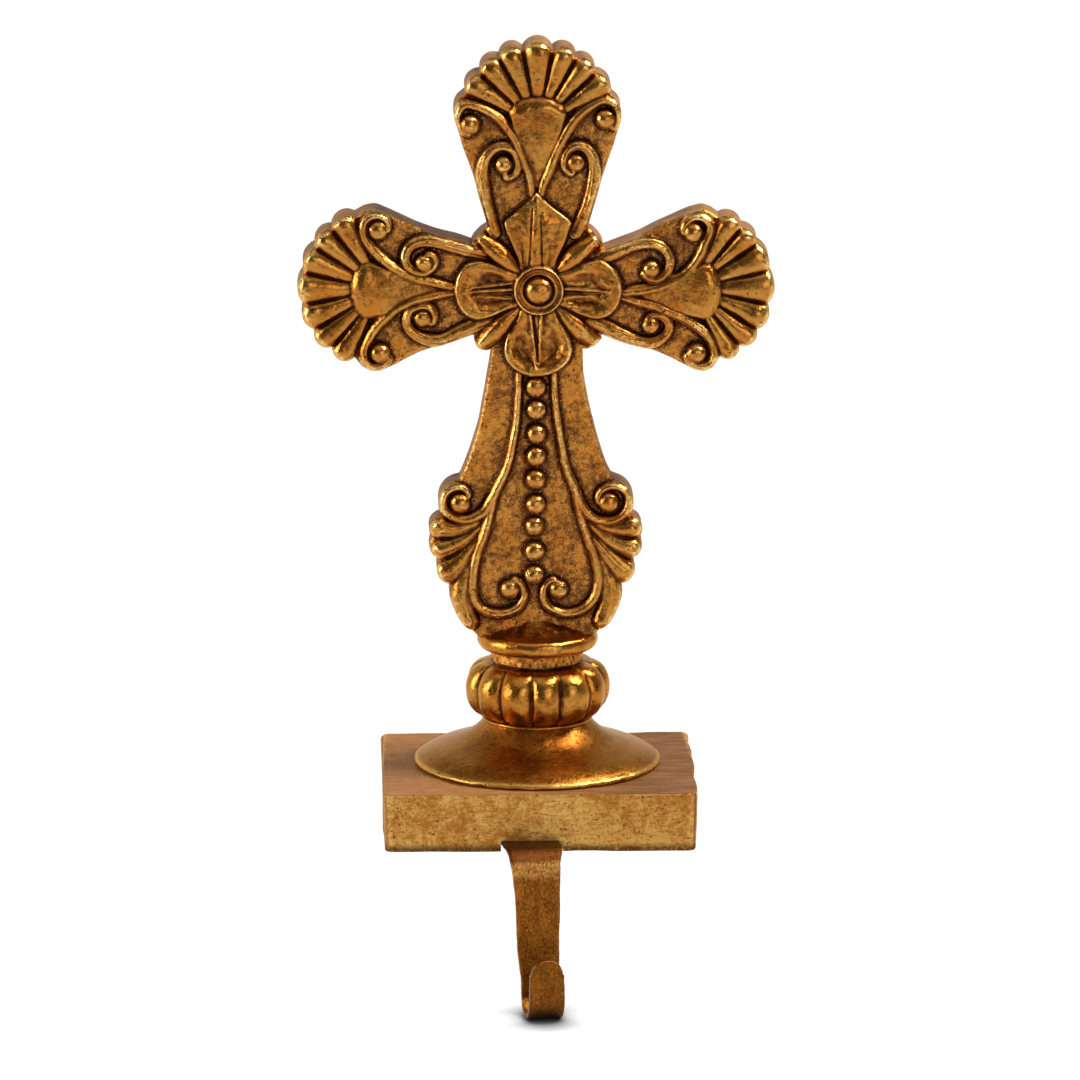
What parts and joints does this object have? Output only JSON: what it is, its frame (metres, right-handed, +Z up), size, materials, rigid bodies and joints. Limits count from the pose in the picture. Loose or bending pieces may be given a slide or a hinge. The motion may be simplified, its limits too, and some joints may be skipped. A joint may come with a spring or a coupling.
{
  "type": "mantel stocking holder",
  "caption": "Stocking holder for a mantel: an ornamented scroll-work cross on a turned foot and heavy block, with a steel strip hook under its front edge.",
  "frame": {"origin": "on the mantel surface, on the pad's underside, under the middle of the block", "axes": "+Z up along the cross, +X to the right as seen from the front, -Y towards the front where the hook hangs"},
  "size_m": [0.1576, 0.1138, 0.3161],
  "materials": {
    "gilt_resin": "antique gold leaf rubbed over dark brown, brown in the recesses",
    "bronzed_steel": "satin bronze-brown coating",
    "screw_steel": "plated",
    "pad_rubber": "matt black"
  },
  "bodies": {
    "root": {"casting": "gilt_resin", "hook": "bronzed_steel", "hook_screws": "screw_steel", "pad": "pad_rubber"}
  },
  "joints": []
}
